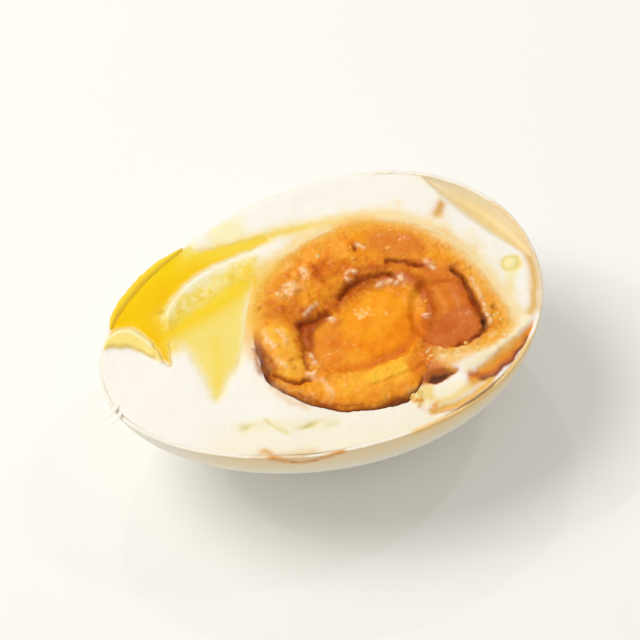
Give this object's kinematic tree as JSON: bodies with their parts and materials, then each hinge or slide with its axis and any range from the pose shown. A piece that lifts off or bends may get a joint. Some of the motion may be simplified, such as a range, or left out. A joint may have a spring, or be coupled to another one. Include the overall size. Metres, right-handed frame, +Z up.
{
  "type": "salted duck egg half",
  "caption": "Half of a cooked salted duck egg, cut lengthwise, lying in its shell with the white, the oily orange yolk and a pool of yolk oil showing.",
  "frame": {"origin": "under the middle of the half egg's length and breadth, at the level of the flat spot that it rests on", "axes": "+X along the egg to its blunt end, +Z up out of the cut face"},
  "size_m": [0.0648, 0.0447, 0.0215],
  "materials": {
    "eggshell": "satin duck eggshell, pale greenish white",
    "egg_white": "moist, firm cooked egg white",
    "yolk": "crumbly, oily cooked yolk",
    "yolk_core": "firm, translucent, glossy yolk",
    "yolk_oil": "clear yellow oil, wet"
  },
  "bodies": {
    "root": {"shell": "eggshell", "white": "egg_white", "yolk": "yolk", "yolk_core": "yolk_core", "yolk_oil": "yolk_oil"}
  },
  "joints": []
}
